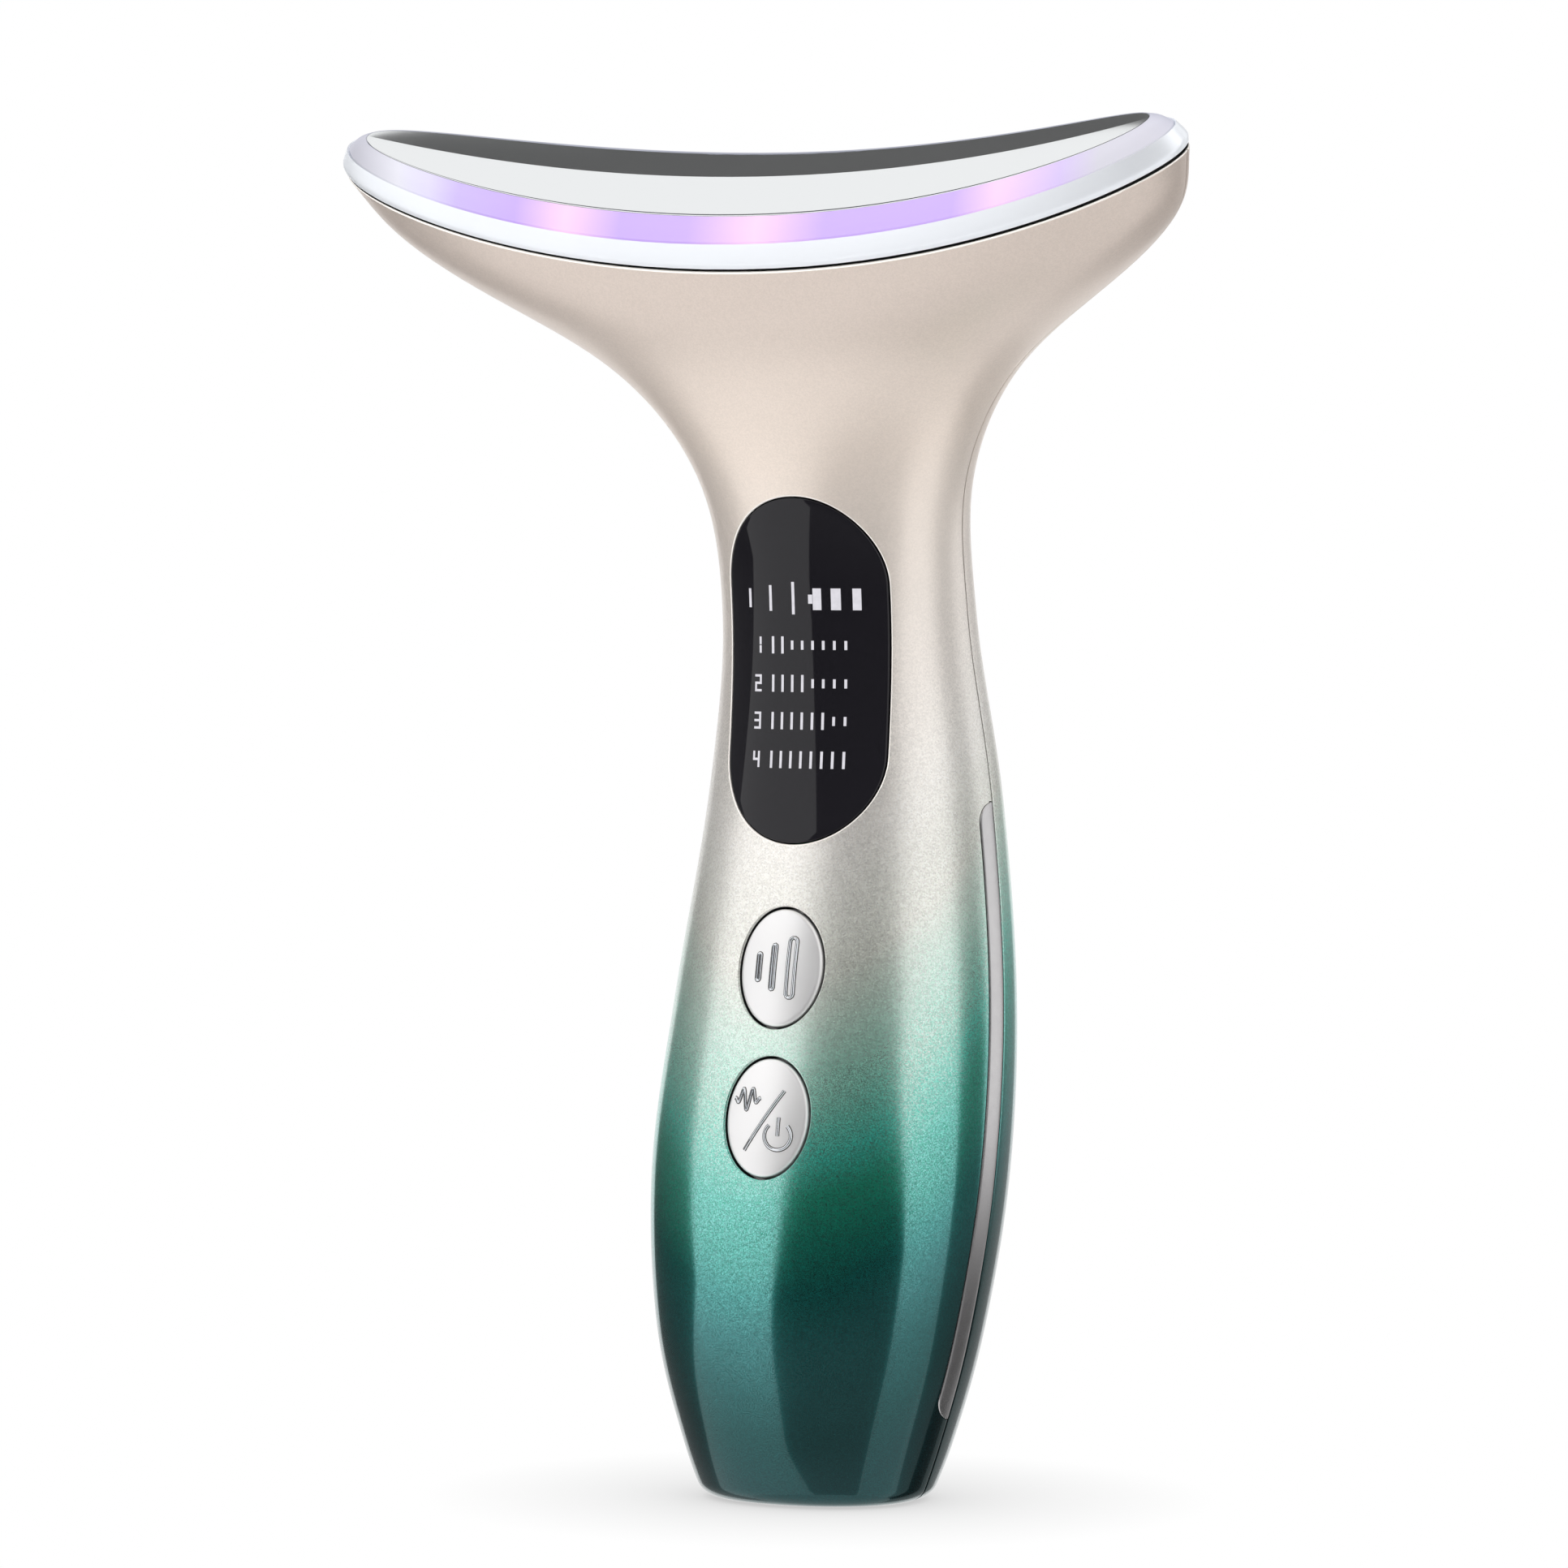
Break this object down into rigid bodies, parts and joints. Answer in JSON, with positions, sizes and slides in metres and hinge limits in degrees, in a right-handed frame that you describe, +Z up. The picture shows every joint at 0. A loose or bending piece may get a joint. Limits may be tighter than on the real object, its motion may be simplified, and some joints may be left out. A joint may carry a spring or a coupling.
{
  "type": "facial toning device",
  "caption": "Hand-held facial toning wand: a lacquered handle with a display, push buttons and side contact strips, and a bowed metal contact head with a glowing ring.",
  "frame": {"origin": "centre of the flat base face that the device stands on", "axes": "+Z up the handle to the contact head, -Y out of the face with the display and buttons, +X to the right of that face"},
  "size_m": [0.1032, 0.0441, 0.1525],
  "materials": {
    "shell_lacquer": "ABS under a metallic lacquer that fades from champagne at the head to dark teal at the base, with a gloss clear coat",
    "chrome_plating": "bright chrome plating on moulded ABS",
    "contact_metal": "polished plated contact plate",
    "frosted_acrylic": "frosted translucent ring, lit lavender and pink from inside",
    "tinted_acrylic": "dark tinted gloss window",
    "circuit_board": "green solder mask",
    "led_lens": "clear moulded lamp",
    "white_abs": "white moulded ABS",
    "black_abs": "black moulded ABS",
    "heater_film": "amber polyimide film",
    "tinned_steel": "tinned or plated steel",
    "weight_brass": "turned brass",
    "copper_winding": "enamelled copper winding",
    "battery_foil": "aluminium pouch foil",
    "foam_tape": "closed-cell foam",
    "lead_insulation": "soft PVC insulation"
  },
  "bodies": {
    "casing": {"front_shell": "shell_lacquer", "rear_shell": "shell_lacquer", "head_trim": "chrome_plating", "light_ring": "frosted_acrylic", "contact_plate": "contact_metal", "heater_pad": "heater_film", "plate_carrier": "white_abs", "led_board": "circuit_board", "ring_leds": "led_lens", "motor_cradle": "white_abs", "motor_can": "tinned_steel", "display_window": "tinted_acrylic", "display_frame": "black_abs", "display_leds": "led_lens", "level_switch": "tinned_steel", "power_switch": "tinned_steel", "main_board": "circuit_board", "board_screws": "tinned_steel", "controller_chip": "black_abs", "boost_coil": "copper_winding", "charge_board": "circuit_board", "usb_socket": "tinned_steel", "battery_cell": "battery_foil", "battery_pad": "foam_tape", "left_strip": "chrome_plating", "right_strip": "chrome_plating", "battery_leads": "lead_insulation", "head_leads": "lead_insulation", "strip_leads": "lead_insulation", "charge_leads": "lead_insulation"},
    "level_key": {"level_button": "chrome_plating", "level_plunger": "black_abs"},
    "power_key": {"power_button": "chrome_plating", "power_plunger": "black_abs"},
    "rotor": {"motor_shaft": "tinned_steel", "eccentric_weight": "weight_brass"}
  },
  "joints": [
    {"name": "level_press", "type": "slide", "parent": "casing", "child": "level_key", "axis": [0, 0.9796, -0.2011], "range_m": [0, 0.0005], "stiffness_N_per_m": 1500},
    {"name": "power_press", "type": "slide", "parent": "casing", "child": "power_key", "axis": [0, 0.9796, -0.2011], "range_m": [0, 0.0005], "stiffness_N_per_m": 1500},
    {"name": "motor_spin", "type": "hinge", "parent": "casing", "child": "rotor", "pos_m": [0, -0.00774, 0.13716], "axis": [1, 0, 0], "continuous": true}
  ]
}
